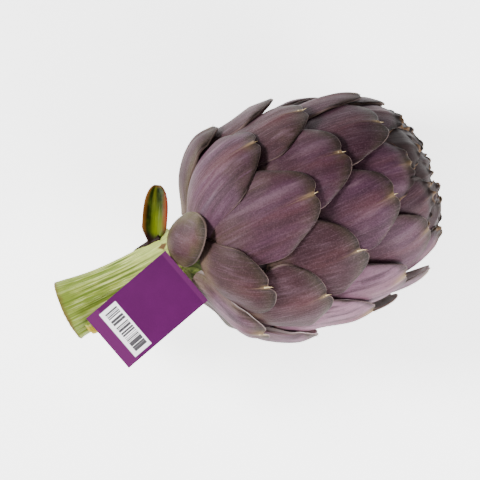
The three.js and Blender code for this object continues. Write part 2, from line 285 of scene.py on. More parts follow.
# %% Paint
class Paint:
    """A material under construction: one method adds any node, the others name the usual ones."""

    def __init__(self, name, colors, **constants):
        self.colors = colors
        self.color = None
        self.material = bpy.data.materials.new(name)
        self.material.use_nodes = True
        self.tree = self.material.node_tree
        self.shader = self.tree.nodes["Principled BSDF"]
        for socket, value in constants.items():
            self.shader.inputs[socket.replace("_", " ")].default_value = value

    def node(self, kind, settings, inputs, output=0):
        """Adds a node: its settings first, then its inputs, each a value or a link."""
        made = self.tree.nodes.new(kind)
        for key, value in settings.items():
            setattr(made, key, value)
        for key, value in inputs.items():
            if isinstance(value, Value):
                self.tree.links.new(value.socket, made.inputs[key])
            else:
                made.inputs[key].default_value = value
        return Value(self, made.outputs[output])

    def attribute(self, name):
        """A value that the mesh carries, by its name."""
        return self.node("ShaderNodeAttribute", {"attribute_name": name}, {}, "Fac")

    def place(self):
        """Where a point is, in the object's own metres, for patterns that fill space."""
        return self.node("ShaderNodeTexCoord", {}, {}, "Object")

    def vector(self, x, y, z):
        """Three values as one place in a noise, so that each can be stretched by itself."""
        return self.node("ShaderNodeCombineXYZ", {}, {0: x, 1: y, 2: z})

    def noise(self, where, scale, detail=3.0, rough=0.55):
        """Cloudy noise, about 0 to 1, its middle at 0.5."""
        inputs = {"Vector": where, "Scale": scale, "Detail": detail, "Roughness": rough}
        return self.node("ShaderNodeTexNoise", {}, inputs, "Fac")

    def fade(self, value, low, high):
        """0 at low, 1 at high, with soft ends; low may be the larger one."""
        inputs = {"Value": value, "From Min": low, "From Max": high}
        return self.node("ShaderNodeMapRange", {"interpolation_type": "SMOOTHSTEP"}, inputs)

    def band(self, value, low, high, soft):
        """1 from low to high and 0 outside, changing over soft on either side of each."""
        rise = self.fade(value, low - soft, low + soft)
        return rise * self.fade(value, high + soft, high - soft)

    def mix(self, share, first, second):
        """Colour first, with a share of colour second laid on it; each is a name or a value."""
        first, second = (self.colors[c] if isinstance(c, str) else c for c in (first, second))
        return self.node("ShaderNodeMix", {"data_type": "RGBA"}, {0: share, 6: first, 7: second}, 2)

    def lay(self, share, color):
        """Lays a share of a colour over all that has been laid so far."""
        self.color = self.mix(share, self.color, color)

    def finish(self, roughness, height, distance):
        """Links the layered colour, the roughness and the relief to the shader."""
        bump = self.node("ShaderNodeBump", {}, {"Height": height, "Distance": distance}, "Normal")
        for name, value in (("Base Color", self.color), ("Roughness", roughness), ("Normal", bump)):
            self.tree.links.new(value.socket, self.shader.inputs[name])
        return self.material


def srgb(red, green, blue):
    """A colour as a screen shows it, 0 to 255, in the linear light that the shader works in."""
    screen = np.array([red, green, blue]) / 255
    linear = np.where(screen < 0.04045, screen / 12.92, ((screen + 0.055) / 1.055) ** 2.4)
    return (*linear.tolist(), 1.0)


def palette(**colors):
    """Named colours, each given as a screen shows it."""
    return {name: srgb(*color) for name, color in colors.items()}


print("mid grey on a screen is", round(srgb(128, 128, 128)[0], 3), "in linear light")

# %% [markdown]
# The skin of a bract is muted purple, and never even. A leather or cloth texture would repeat, and would
# not know where the tip is. Here every layer is a mask made of what the mesh carries, millimetres from
# the rib and from the edge and the share of the length, so the pattern follows each bract's own shape.
# First come the colours and the noises: clouds in space, and lines that run with the rib.

# %% Bract skin: colours and noises
SKIN = palette(
    mauve=(68, 41, 57), brown=(54, 28, 32), pale=(96, 72, 82), palest=(150, 110, 128),
    olive=(64, 51, 42), blue_grey=(62, 52, 68), bloom=(108, 84, 94), hollow=(42, 23, 30),
    wine=(40, 19, 24), shade=(40, 18, 24), plum=(48, 22, 42), flank=(80, 44, 45),
    foot=(104, 88, 66), green_edge=(78, 74, 38), tip=(44, 35, 25), tip_edge=(20, 14, 11),
    pale_line=(122, 94, 110), dark_line=(34, 19, 26), fine_line=(122, 94, 108),
    pale_speck=(120, 96, 106), dark_speck=(36, 20, 24), pale_grain=(122, 96, 104), dark_grain=(34, 19, 24),
    gold=(120, 99, 66), streak=(116, 92, 72), spine_foot=(132, 108, 76), margin=(132, 110, 104),
    dry=(24, 14, 13), driest=(28, 17, 15), dry_gold=(104, 76, 46),
    inner_face=(118, 104, 94), pale_inner_face=(206, 190, 190), spine=(186, 164, 124), point=(64, 42, 28),
)


def skin_fields(p):
    """What the layers are made of: the values that the mesh carries, and eight noises."""
    along, tone, rib = p.attribute("along"), p.attribute("tone"), p.attribute("from_rib")

    def streaks(width, times, shift, detail, rough):
        """Noise in lines: about width millimetres across, and shifted by the bract's own tone."""
        return p.noise(p.vector(rib / width, along * times, tone * shift), 1.0, detail, rough)

    return SimpleNamespace(
        along=along, tone=tone, rib=rib,
        age=p.attribute("age"), edge=p.attribute("from_edge"), back=p.attribute("back"),
        clouds=p.noise(p.place(), 95, 4),
        patches=p.noise(p.place(), 42, 2, 0.4),
        specks=p.noise(p.place(), 700, 3, 0.7),
        grain=p.noise(p.place(), 1500, 2, 0.6),
        lines=streaks(0.85, 2.6, 60, 4, 0.6),
        fine=streaks(0.38, 5, 83, 3, 0.6),
        sheen=streaks(4.0, 2.2, 17, 4, 0.55),
        hue=streaks(6.5, 1.6, 43, 3, 0.5),
    )


print(len(SKIN), "colours for the bracts")

# %% [markdown]
# The ground is laid wide and soft. Tone tells pale bracts from dark ones, as neighbours on a real head
# differ. Age runs from the lowest bract to the innermost, and the later ones are deeper and shaded where
# others cover them. Then come the things with a place of their own: reddish flanks beside the rib, a tan
# foot, and a dark olive zone round the tip.

# %% Bract skin: ground and marks
def skin_ground(p, s):
    """Mauve to brown by tone, pale and dark bracts, olive and grey patches, painted sheen on the palest
    bracts, painted sheen and painted shade on the broad relief, painted shade where others cover.
    """
    p.color = p.mix(p.fade(s.tone * 0.8 + s.hue, 0.55, 1.15), "mauve", "brown")
    p.lay(p.fade(s.tone, 0.45, 0.0) * p.fade(s.hue, 0.35, 0.7) * 0.5, "pale")
    # The palest bracts are lighter still where the sheen noise is high: partly their pale tone, partly
    # painted sheen.
    p.lay(p.fade(s.tone, 0.2, 0.0) * p.fade(s.sheen, 0.2, 0.7) * 0.5, "palest")
    olive = p.fade(s.patches, 0.48, 0.66) * p.fade(s.lines, 0.7, 0.4) * p.fade(s.age, 0.5, 0.25)
    p.lay(olive * 0.6, "olive")
    p.lay(p.fade(s.patches, 0.46, 0.32) * p.fade(s.hue, 0.5, 0.7) * 0.4, "blue_grey")
    # Painted sheen: a pale lilac where the broad sheen noise, which also raises the relief, is high.
    p.lay(p.fade(s.sheen, 0.50, 0.70) * p.fade(s.edge, 0.5, 5) * 0.46, "bloom")
    # Painted shade: darker where the same noise is low, in the hollows of the broad relief.
    p.lay(p.fade(s.sheen, 0.50, 0.32) * 0.6, "hollow")
    p.lay(p.fade(s.tone, 0.6, 1.0) * 0.7, "wine")
    shaded = p.fade(s.along, 0.78, 0.45) * p.fade(s.age, 0.2, 0.33) * p.fade(s.tone, 0.0, 0.4)
    p.lay(shaded * 0.62, "shade")
    p.lay(p.fade(s.age, 0.26, 0.5) * 0.3, "plum")


def skin_marks(p, s):
    """Flanks beside the rib, the foot, a green edge on the lowest bracts, the olive tip and its rim."""
    flank = p.fade(abs(s.rib), 9, 1) * p.fade(s.along, 0.25, 0.8) * p.fade(s.hue, 0.3, 0.6)
    p.lay(flank * 0.42, "flank")
    p.lay(p.fade(s.along, 0.42, 0.1) * p.fade(s.clouds + s.hue, 0.8, 1.2) * 0.55, "foot")
    p.lay(p.fade(s.age, 0.12, 0.03) * p.fade(s.edge + s.clouds * 6, 9, 3) * 0.55, "green_edge")
    tip = p.fade(s.edge + s.age * 4, 10.5, 2.5) * p.fade(s.along, 0.7, 0.97) * p.fade(s.age, 0.01, 0.03)
    p.lay(tip * p.fade(s.clouds + s.tone * 0.25, 0.36, 0.58) * 0.88, "tip")
    p.lay(p.fade(s.edge + s.clouds * 2, 4.2, 1.2) * p.fade(s.along, 0.6, 0.93) * 0.7, "tip_edge")


print("layers so far:", [layer.__name__ for layer in (skin_ground, skin_marks)])

# %% [markdown]
# Seen close, the skin has fibres, specks and grain, each in a paler and a darker kind. Behind the spine
# runs a golden streak, and the margin is thin and pale: partly its own colour, partly a painted
# highlight along the rim. The innermost bracts are the driest, with dark brown rims that break into
# gold. The inner face of a bract, where a tip stands away, is pale, and on pale bracts it is paler still,
# as painted light where the lamps hardly reach.

# %% Bract skin: fibres, gold and dry rims
def skin_fibres(p, s):
    """Lines, fine lines, specks and grain: the high half of each noise lightens, the low half darkens."""
    p.lay(p.fade(s.lines, 0.5, 0.8) * 0.22, "pale_line")
    p.lay(p.fade(s.lines, 0.5, 0.22) * 0.26, "dark_line")
    p.lay(p.fade(s.fine, 0.52, 0.8) * 0.16, "fine_line")
    p.lay(p.fade(s.specks, 0.52, 0.72) * 0.08, "pale_speck")
    p.lay(p.fade(s.specks, 0.48, 0.30) * 0.28, "dark_speck")
    p.lay(p.fade(s.grain, 0.50, 0.72) * 0.11, "pale_grain")
    p.lay(p.fade(s.grain, 0.48, 0.30) * 0.25, "dark_grain")


def skin_gold(p, s):
    """Three golds round the end of the rib, each narrower than the last, and the pale margin, partly a
    painted highlight along the rim.
    """
    golden = p.fade(abs(s.rib), 5, 0.5) * p.fade(s.along, 0.8, 0.98)
    golden = golden * p.fade(s.age, 0.01, 0.03) * p.fade(s.tone + s.clouds, 1.0, 0.45)
    p.lay(golden * 0.6, "gold")
    spiny = p.fade(s.age, 0.02, 0.03)
    streak = p.fade(abs(s.rib), 1.1, 0.1) * p.fade(s.along, 0.7, 0.98) * p.fade(s.lines + s.fine, 0.8, 1.2)
    p.lay(streak * spiny * 0.55, "streak")
    foot = spiny * p.fade(abs(s.rib), 1.5, 0.2) * p.fade(s.along, 0.88, 0.99) * p.fade(s.clouds, 0.2, 0.6)
    p.lay(foot * 0.6, "spine_foot")
    # The pale margin: partly its own paler colour, partly a painted highlight along the rounded rim.
    p.lay(p.fade(s.edge, 0.5, 0.15) * p.fade(s.along, 0.3, 0.7) * 0.36, "margin")


def skin_dry(p, s):
    """Dry rims with broken gold, dry middles, pale inner faces with painted light on those of pale bracts,
    and the spine: along is 1.1 to 2 on it.
    """
    dry = p.fade(s.age, 0.52, 0.66) * p.fade(s.edge + s.clouds * 4, 8.5, 4) * p.fade(s.along, 0.45, 0.8)
    p.lay(dry * 0.92, "dry")
    p.lay(p.fade(s.age, 0.67, 0.73) * p.fade(s.along, 0.4, 0.7) * 0.85, "driest")
    p.lay(dry * p.fade(s.edge + s.clouds * 9, 6.0, 4.2) * 0.6, "dry_gold")
    p.lay(s.back * p.fade(s.age, 0.6, 0.5) * 0.7, "inner_face")
    # Paler still on the inner faces of pale bracts: painted light where the lamps hardly reach.
    p.lay(s.back * p.fade(s.tone, 0.3, 0.15) * 0.8, "pale_inner_face")
    p.lay(p.fade(s.along, 1.02, 1.1), "spine")
    p.lay(p.fade(s.along, 1.8, 2.0) * 0.6, "point")


def bract_skin():
    """All the layers in order; the relief adds the lines, the broad sheen and a fine grain."""
    p = Paint("bract_skin", SKIN, Specular_IOR_Level=0.14)
    s = skin_fields(p)
    for layer in (skin_ground, skin_marks, skin_fibres, skin_gold, skin_dry):
        layer(p, s)
    relief = s.lines * 0.4 + s.fine * 0.15 + s.sheen * 0.5 + p.noise(p.place(), 900, 2) * 0.08
    return p.finish(0.52 + s.clouds * 0.2, relief, 0.0005)


skin = bract_skin()
print("made", skin.name, "with", len(skin.node_tree.nodes), "nodes")

# %% [markdown]
# The head's form is a rule. Seen from the head's middle, the bract tips follow an envelope: a squarish
# round base, a longer top, and a rise where the lowest bracts follow the neck down the stem. A lathe
# could turn this profile, but as a distance in every direction it also says where a bract lies.

# %% The head's envelope
HEAD_RADIUS = 53.5
HEAD_MIDDLE = 42
BASE_REACH, BASE_POWER = 45, 3
TOP_REACH, TOP_POWER = 73.4, 2.5
NECK_RISE, NECK_SPREAD = 22, 20


def smooth(x):
    """3x^2 - 2x^3 between 0 and 1, flat outside."""
    x = np.clip(x, 0, 1)
    return x * x * (3 - 2 * x)


def placed(along, aside, up):
    """Points given along the axis from the neck, sideways and up from the axis, in the frame."""
    return np.stack(np.broadcast_arrays(along - REST_ALONG, aside, up + AXIS_HEIGHT), -1)


def envelope(sine, cosine):
    """Distance from the head's middle: the sum of (|sine| / reach)^p and (cosine / radius)^p, to the
    power -1/p, plus the neck's rise, which falls off as a bell round the stem."""
    reach = np.where(sine < 0, BASE_REACH, TOP_REACH)
    power = np.where(sine < 0, BASE_POWER, TOP_POWER)
    off_neck = np.degrees(np.arccos(np.clip(-sine, -1, 1)))
    round_part = (np.abs(sine) / reach) ** power + (cosine / HEAD_RADIUS) ** power
    return round_part ** (-1 / power) + NECK_RISE * np.exp(-((off_neck / NECK_SPREAD) ** 2))


print("to the side:", envelope(0.0, 1.0).round(1), "mm, to the top:", envelope(1.0, 0.0).round(1), "mm")

# %% [markdown]
# Each bract grows a golden angle on from the last, and the tips climb from the neck towards the closed
# top, fast at first and then slower and slower. Nature isn't exact, so a repeatable draw varies each
# bract a little, and a short table holds what is particular to some: tip, root, turn and lean are
# degrees, lift, wide, sink and bulge are millimetres, and the others are shares.

# %% Draws and particular bracts
FIRST_BRACT, LAST_BRACT = -2, 56
DRAWS = ("width", "lean", "lift", "phase", "tone", "spine size", "spine bend", "spine skew", "lobe", "curl")
INDIVIDUAL = {
    -1: dict(root=-76, tip=-0.4, turn=-8, lift=0, notch=0, round=0, disc=1, bulge=2, tone=0.9),
    0: dict(tip=-3),
    1: dict(lift=-0.5, root=-72, heel=0.8, tone=0.1),
    2: dict(tip=8, turn=9, root=-64, heel=0.7, sink=3, tone=1),
    4: dict(tip=-4.2, turn=-12, lean=-12, wide=19, root=-59, heel=0.92, tone=0.85),
    6: dict(tone=0.1),
    7: dict(tip=1.5, lean=16, root=-64, tone=0.3),
    8: dict(tip=14, lift=-2.6),
    9: dict(tone=0.9),
    10: dict(tip=4, lift=1.5, tone=0.8),
    12: dict(tip=1, root=-62, heel=0.4, sink=2.5, tone=0.4),
    14: dict(lift=1, tone=0),
    15: dict(tone=0.75),
    16: dict(lift=-2),
    17: dict(tip=-3.5, tone=1),
    19: dict(tip=-3.6, lift=3, tone=0.6),
    20: dict(tip=-3, tone=0.4),
    22: dict(tip=-2, tone=0.05),
    23: dict(tip=4.2, lift=1.4, wide=13, tone=0.9),
    25: dict(tone=0.3),
    27: dict(tip=-3, lift=2.4, tone=0.1),
    28: dict(tone=1),
    30: dict(tone=0.4),
    31: dict(tone=0.8),
    33: dict(tone=0.2),
    36: dict(tone=0.9),
}


def draw(n, what):
    """A repeatable draw between 0 and 1: the fraction of sin(12.9898 n + 78.233 kind) times 43758.5453."""
    kind = 1 + DRAWS.index(what)
    return (math.sin(n * 12.9898 + kind * 78.233) * 43758.5453) % 1.0


print("widths drawn for the first bracts:", [round(draw(n, "width"), 2) for n in range(FIRST_BRACT, 4)])

# %% [markdown]
# The rule gives everything that shapes a bract by its number. The lowest are short and small, the middle
# ones long and wide, and the innermost narrow. Every bract lies deeper at its root than at its tip, by
# its slope, so that the one before covers it.

# %% The rule
GOLDEN_ANGLE = 137.24
FIRST_AZIMUTH = 159.8
CLOSED_LATITUDE = 95
OPENING = 133
CLOSING_RATE = 23.5
LOWEST_ROOT = -72
LAYER_SLOPE, INNER_SLOPE = 0.145, 0.07
SPANS = (36, 50, 32)
HALF_WIDTHS = (15.5, 22.5, 7)


def by_number(n, sizes, grown, start, length):
    """The lowest size, grown to the middle one by one smooth step and shrunk to the inmost by another."""
    lowest, middle, inmost = sizes
    growth, shrinking = smooth((n + 1) / grown), smooth((n - start) / length)
    return lowest + (middle - lowest) * growth - (middle - inmost) * shrinking


def bract_rule(n):
    """Everything that shapes bract n: angles in degrees, lengths in millimetres. The tip's latitude is
    closed - opening x e^(-(n + 1) / rate); the azimuth is first + golden angle x n."""
    own = INDIVIDUAL.get(n, {})
    tip = CLOSED_LATITUDE - OPENING * math.exp(-(n + 1) / CLOSING_RATE) + own.get("tip", 0)
    inner = smooth((n - 26) / 30)
    span = by_number(n, SPANS, grown=12, start=12, length=30)
    wide = by_number(n, HALF_WIDTHS, grown=10, start=20, length=38)
    return {
        "tone": own.get("tone", draw(n, "tone")),
        "sink": own.get("sink", 0),
        "notch": own.get("notch", 1),
        "round": own.get("round", 0.19),
        "disc": own.get("disc", 0),
        "bulge": own.get("bulge", 0),
        "azimuth": FIRST_AZIMUTH + GOLDEN_ANGLE * n + own.get("turn", 0),
        "tip": tip,
        "root": own.get("root", max(tip - span, LOWEST_ROOT)),
        "half_wide": own.get("wide", wide) * (0.94 + 0.12 * draw(n, "width")),
        "lean": own.get("lean", 10 * (draw(n, "lean") - 0.5)),
        "lift": 2.2 + 1.2 * draw(n, "lift") + own.get("lift", 0) - 0.8 * inner,
        "cup": 0.9 - 0.5 * inner,
        "slope": min(LAYER_SLOPE, 0.02 + 0.0034 * (n + 1)) + INNER_SLOPE * smooth((n - 16) / 16),
        "heel": own.get("heel", 0.78 - 0.23 * smooth((n + 1) / 8)),
    }


print("bract 4 by the rule:", {key: round(float(value), 2) for key, value in bract_rule(4).items()})

# %% [markdown]
# A bract is a sheet over two parameters, u across and v along. Its outline swells from the root and
# rounds off at a blunt tip with a small notch between uneven lobes. The dry inner ones are blunter and
# ragged. Rows and columns crowd towards the rim, where the shape turns fastest.

# %% A bract's outline
NOTCH_DEPTH, NOTCH_WIDTH = 2.2, 2.4
LOBE_SHIFT = 2.6
WIDEST = 0.7
BLUNT_POWER = 2.6
RAGGED, RAGGED_LENGTH = 0.4, 5.2


def crowded(count, low):
    """Steps from low to 1 that crowd towards the ends that are free: sin(step x 84 degrees), scaled."""
    reach = 0.93 * math.pi / 2
    return np.sin(np.linspace(low, 1, count) * reach) / math.sin(reach)


def outline(n, rows, columns):
    """Half the width swells from the heel as a sine and falls as a parabola, or bluntly where dry.
    Reach, the place along the bract, is v less rounded corners, less the notch, plus lobes and rags."""
    b = bract_rule(n)
    v, u = np.meshgrid(crowded(rows, 0), crowded(columns, -1), indexing="ij")
    length = math.radians(b["tip"] - b["root"]) * HEAD_RADIUS * 1.08
    phase = 2 * math.pi * draw(n, "phase")
    dry = smooth((n - 27) / 14)
    past = np.clip(v - 0.62, 0, 1) / 0.385
    blunt = np.clip(1 - past ** BLUNT_POWER, 0.002, 1) ** (1 / BLUNT_POWER)
    shoulder = (1 - dry) * (1 - 2 * (v - WIDEST) ** 2) + dry * blunt
    swell = np.where(v < WIDEST, b["heel"] + (1 - b["heel"]) * np.sin(math.pi / 2 * v / WIDEST), shoulder)
    swell = swell * (1 + 0.02 * np.sin(7 * v + phase) * v)
    from_rib = u * b["half_wide"] * swell
    from_edge = np.minimum((1 - np.abs(u)) * b["half_wide"] * swell, (1 - v) * length)
    cleft = b["notch"] * (1 - 0.7 * dry)
    lobes = LOBE_SHIFT * cleft * (draw(n, "lobe") - 0.5) * np.tanh(from_rib / 3) * (1 - u * u)
    lobes = lobes + (0.35 - 0.25 * b["disc"]) * np.sin(5.3 * u + phase)
    notch = cleft * (NOTCH_DEPTH * np.exp(-((from_rib / NOTCH_WIDTH) ** 2)) - 1.1)
    ragged = dry * RAGGED * np.sin(2 * math.pi * from_rib / RAGGED_LENGTH + phase)
    corners = b["round"] * (1 - 0.7 * dry) * np.abs(u) ** 2.7 * v * v
    reach = v * (1 - corners) + (lobes - notch + ragged) / length * v ** 7
    return SimpleNamespace(n=n, rule=b, u=u, v=v, length=length, phase=phase, dry=dry,
                           from_rib=from_rib, from_edge=from_edge, reach=reach)


print(f"bract 4 is {outline(4, 5, 5).length:.0f} mm long")

# %% [markdown]
# The outline is then wrapped on the envelope. A row of a bract is an arc that leaves the bract's own
# meridian sideways. The lowest bract is the exception: it is a small round scale that lies over the neck,
# so it is laid out as an ellipse seen from above and raised to the envelope there.

# %% A bract on the envelope
COIN_MIDDLE = (-3.1, 9.0)
COIN_HALF = (13.4, 10.1)
COIN_TURN = math.radians(36.7)


def wrapped(o):
    """Directions from the head's middle: the meridian's direction x cos(turn) + sideways x sin(turn),
    where turn is the distance from the rib over the distance from the middle."""
    b = o.rule
    latitude = np.radians(b["root"] + (b["tip"] - b["root"]) * o.reach)
    azimuth = np.radians(b["azimuth"] + b["lean"] * (o.reach - 0.6))
    turn = o.from_rib / envelope(np.sin(latitude), np.cos(latitude))
    origin = placed(0, 0, 0)
    ahead = placed(np.sin(latitude), np.cos(latitude) * np.sin(azimuth), np.cos(latitude) * np.cos(azimuth))
    beside = placed(0, np.cos(azimuth), -np.sin(azimuth))
    return (ahead - origin) * np.cos(turn)[..., None] + (beside - origin) * np.sin(turn)[..., None]


def coin(u, v):
    """Directions over an ellipse seen from above: the square grid (u, w) is pressed into a disc as
    (u sqrt(1 - w^2 / 2), w sqrt(1 - u^2 / 2)), then raised to the envelope over the neck."""
    w = 2 * v - 1
    across, ahead = u * np.sqrt(1 - w * w / 2), w * np.sqrt(1 - u * u / 2)
    sine, cosine = math.sin(COIN_TURN), math.cos(COIN_TURN)
    along = COIN_MIDDLE[0] + COIN_HALF[0] * across * sine + COIN_HALF[1] * ahead * cosine
    aside = COIN_MIDDLE[1] + COIN_HALF[0] * across * cosine - COIN_HALF[1] * ahead * sine
    latitude = np.radians(np.linspace(-80, -20, 61))
    distance = envelope(np.sin(latitude), np.cos(latitude))
    radius = np.interp(along, HEAD_MIDDLE + np.sin(latitude) * distance, np.cos(latitude) * distance)
    up = np.sqrt(np.clip(radius ** 2 - aside ** 2, 1, None))
    from_middle = np.stack([along - HEAD_MIDDLE, aside, up], -1)
    direction = from_middle / np.linalg.norm(from_middle, axis=-1, keepdims=True)
    return direction, across * COIN_HALF[0], (1 - np.hypot(across, ahead)) * COIN_HALF[1]


print("the lowest bract is", 2 * COIN_HALF[0], "by", 2 * COIN_HALF[1], "mm")

# %% [markdown]
# The height over the envelope adds what the eye looks for: the tip lifts off the layer below, a rib
# stands up towards the spine between two shallow grooves, margins wave a little, and the rim is rounded.
# Dry bracts get a thick curled lip with beads. A displacement modifier with a texture could do some of
# this, but not the parts that follow the rib and the rim.

# %% A bract's height
BRACT_EDGE, BRACT_BODY = 0.9, 5.5
RIB_HEIGHT, RIB_WIDTH = 0.55, 1.3
GROOVE_DEPTH, GROOVE_FROM_RIB = 0.25, 3.4
DOME = 1.3
INCURVE = 1.3
ROOT_HUG = 2.2
ROOT_PLUNGE = 19
WAVE = 0.45
LIP_CURL, LIP_THICKNESS, BEAD = 1.3, 2.7, 1.0
RIM_ROUND, DRY_RIM = 0.75, 2.1


def bract_height(o, direction):
    """Distance from the middle: envelope - depth in the layers + lift + rib + waves + dome - hook."""
    b, u, v = o.rule, o.u, o.v
    late = smooth((v - 0.45) / 0.5)
    lifted = b["lift"] * smooth((v - 0.45) / 0.55) * (1 - 0.35 * u * u)
    rib = RIB_HEIGHT * np.exp(-((o.from_rib / RIB_WIDTH) ** 2))
    rib = rib - GROOVE_DEPTH * np.exp(-(((np.abs(o.from_rib) - GROOVE_FROM_RIB) / 2) ** 2))
    broad_wave = np.sin(2.3 * u + o.phase) * np.sin(3.4 * v + 2 * o.phase)
    waves = WAVE * (broad_wave + np.abs(u) ** 3 * np.sin(13 * v + o.phase))
    dome = (DOME + b["bulge"]) * (1 - u * u) * np.sin(math.pi * v ** 0.9)
    hooked = INCURVE * smooth((v - 0.76) / 0.24) * smooth((4.6 - b["lift"]) / 2)
    depth = b["slope"] * (o.length * (1 - o.reach) + ROOT_PLUNGE * (1 - v) ** 3) + b["sink"] * (1 - v) ** 2
    depth = depth + (b["cup"] + ROOT_HUG * smooth((o.n + 1) / 3) * (1 - v) ** 1.5) * u * u
    outer = envelope(direction[..., 0], np.hypot(direction[..., 1], direction[..., 2])) - depth + lifted
    return outer + late * ((1 - b["disc"]) * rib + waves * smooth(o.from_edge / 2 + 0.5)) + dome - hooked


def bract_part(n, rows, columns):
    """Bract n: its front at its height, its back less the thickness, both drawn in round the rim."""
    o = outline(n, rows, columns)
    direction = wrapped(o)
    if o.rule["disc"]:
        direction, o.from_rib, o.from_edge = coin(o.u, o.v)
    outer = bract_height(o, direction)
    rim = RIM_ROUND + DRY_RIM * o.dry
    rounded = rim / 2 * (1 - np.sqrt(1 - np.clip(1 - o.from_edge / rim, 0, 1) ** 2))
    lip = o.dry * smooth((o.v - 0.6) / 0.3) * smooth(1.1 - o.from_edge / 3)
    beads = BEAD * np.sin(2 * math.pi * (o.from_rib + 0.6 * o.v * o.length) / RAGGED_LENGTH + o.phase)
    outer = outer + lip * (LIP_CURL * (0.5 + draw(n, "curl")) + beads)
    thick = BRACT_EDGE + BRACT_BODY * (1 - o.v) * (1 - 0.4 * o.u * o.u) + lip * (LIP_THICKNESS + beads)
    middle = placed(HEAD_MIDDLE, 0, 0)
    front = middle + direction * (outer - rounded)[..., None]
    back = middle + direction * (outer - thick + rounded)[..., None]
    age = (n - FIRST_BRACT) / (LAST_BRACT - FIRST_BRACT)
    values = {"along": o.v, "from_rib": o.from_rib, "from_edge": o.from_edge,
              "tone": np.full_like(o.v, o.rule["tone"]), "age": np.full_like(o.v, age)}
    return closed_sheet(front, back, values)


print("bract 4 holds", round(volume(outward(bract_part(4, 30, 24)))), "cubic mm")

# %% [markdown]
# Each bract ends in a small hooked spine that stands in the notch. It is a thin cone carried along a
# short curve: forward over the notch first, then up and away from the head. The innermost bracts have
# lost theirs. One object per spine would be slow and untidy, so each is a part of its bract's piece.

# %% The spines
SPINE_LENGTH, SPINE_RADIUS = 3.6, 0.42
SPINE_START, SPINE_SUNK = 1.8, 0.35
SPINE_RINGS, SPINE_SIDES = 9, 8
SPINE_DISTANCE = 5
NO_SPINE = -1
LAST_SPINE = 34


def spine_part(n, part, rows, columns):
    """A cone whose middle line is tip + forward t + outward t^2, and whose radius falls as (1 - t)^0.7."""
    grid = part["points"][: rows * columns].reshape(rows, columns, 3)
    tip = grid[-1, columns // 2]
    forward = tip - grid[-8, columns // 2]
    forward = forward / np.linalg.norm(forward)
    outside = tip - placed(HEAD_MIDDLE, 0, 0)
    outside = outside - forward * np.dot(outside, forward)
    outside = outside / np.linalg.norm(outside)
    sideways = np.cross(forward, outside)
    size = (0.75 + 0.5 * draw(n, "spine size")) * (1 - 0.6 * smooth((n - 26) / 8))
    around = np.linspace(0, 2 * math.pi, SPINE_SIDES + 1)[:-1]
    t, a = np.meshgrid(np.linspace(0, 1, SPINE_RINGS), around, indexing="ij")
    bend = 0.7 * draw(n, "spine bend") + 0.1
    line = (tip + forward * ((SPINE_LENGTH * t - SPINE_START) * size)[..., None]
            + outside * (SPINE_LENGTH * bend * size * t * t - SPINE_SUNK)[..., None]
            + sideways * ((draw(n, "spine skew") - 0.5) * 1.6 * t * t)[..., None])
    radius = SPINE_RADIUS * size * (1 - 0.97 * t) ** 0.7
    rings = line + outside * (radius * np.cos(a))[..., None] + sideways * (radius * np.sin(a))[..., None]
    far = 0 * t + SPINE_DISTANCE
    values = {"along": 1.1 + 0.9 * t, "from_rib": far, "from_edge": far,
              "tone": 0 * t, "age": 0 * t, "back": 0 * t}
    return closed_tube(rings, values)


def bract_layer(name, first, last, rows, columns):
    """All bracts from first to last as one piece, with their spines."""
    parts = []
    for n in range(first, last + 1):
        part = bract_part(n, rows, columns)
        parts.append(part)
        if n != NO_SPINE and n <= LAST_SPINE:
            parts.append(spine_part(n, part, rows, columns))
    piece(name, parts, "head", skin)


bract_layer("outer_bracts", FIRST_BRACT, 16, rows=52, columns=41)
bract_layer("middle_bracts", 17, 36, rows=46, columns=37)
bract_layer("inner_bracts", 37, LAST_BRACT, rows=42, columns=37)

# %% [markdown]
# Under the bracts lies the core, and at the bottom the neck, where the green of the stem shows between
# the lowest bracts. Only its depth is seen between the bracts, and its dark colour there is painted
# shade, so a turned profile is enough: the neck's own curve first, then the envelope less the depth of
# the core.

# %% The core and neck
CORE_DEPTH, TOP_CORE_DEPTH = 5.5, 7
STEM_END = -9.3
STEM_OFFSET = 1.6
NECK_LATITUDE, TOP_LATITUDE = -45, 89.5
NECK_PROFILE = np.array([
    (STEM_END - 3, 9), (STEM_END - 0.4, 13.6), (STEM_END + 0.3, 14.9), (-8.2, 15.1), (-7, 15.4),
    (-5.5, 15.8), (-4, 16.4), (-2.5, 17.3), (-1, 18.8), (0.8, 21.4), (2.5, 25.2)])
CORE = palette(dark=(44, 26, 32), darker=(32, 22, 22), green=(52, 64, 20), pale_green=(92, 102, 42),
               neck=(146, 154, 88))


def core_part(rows=60, columns=120):
    """Profile turned about the axis; around it the neck swells and sinks a little, as flesh does."""
    neck_along, neck_radius = NECK_PROFILE.T
    latitude = np.radians(np.linspace(NECK_LATITUDE, TOP_LATITUDE, rows))
    depth = CORE_DEPTH + (TOP_CORE_DEPTH - CORE_DEPTH) * smooth(np.degrees(latitude) / 60 + 0.3)
    distance = envelope(np.sin(latitude), np.cos(latitude)) - depth
    along = np.concatenate([neck_along, HEAD_MIDDLE + np.sin(latitude) * distance])[:, None]
    radius = np.concatenate([neck_radius, np.cos(latitude) * distance])[:, None]
    angle = np.linspace(0, 2 * math.pi, columns + 1)[None, :-1]
    radius = radius * (1 + 0.012 * np.sin(5 * angle + 0.2 * along))
    along = along + 0 * angle
    shift = STEM_OFFSET * (1 - smooth((along - STEM_END) / 12))
    rings = placed(along, shift + radius * np.sin(angle), radius * np.cos(angle))
    return closed_tube(rings, {"from_neck": along})


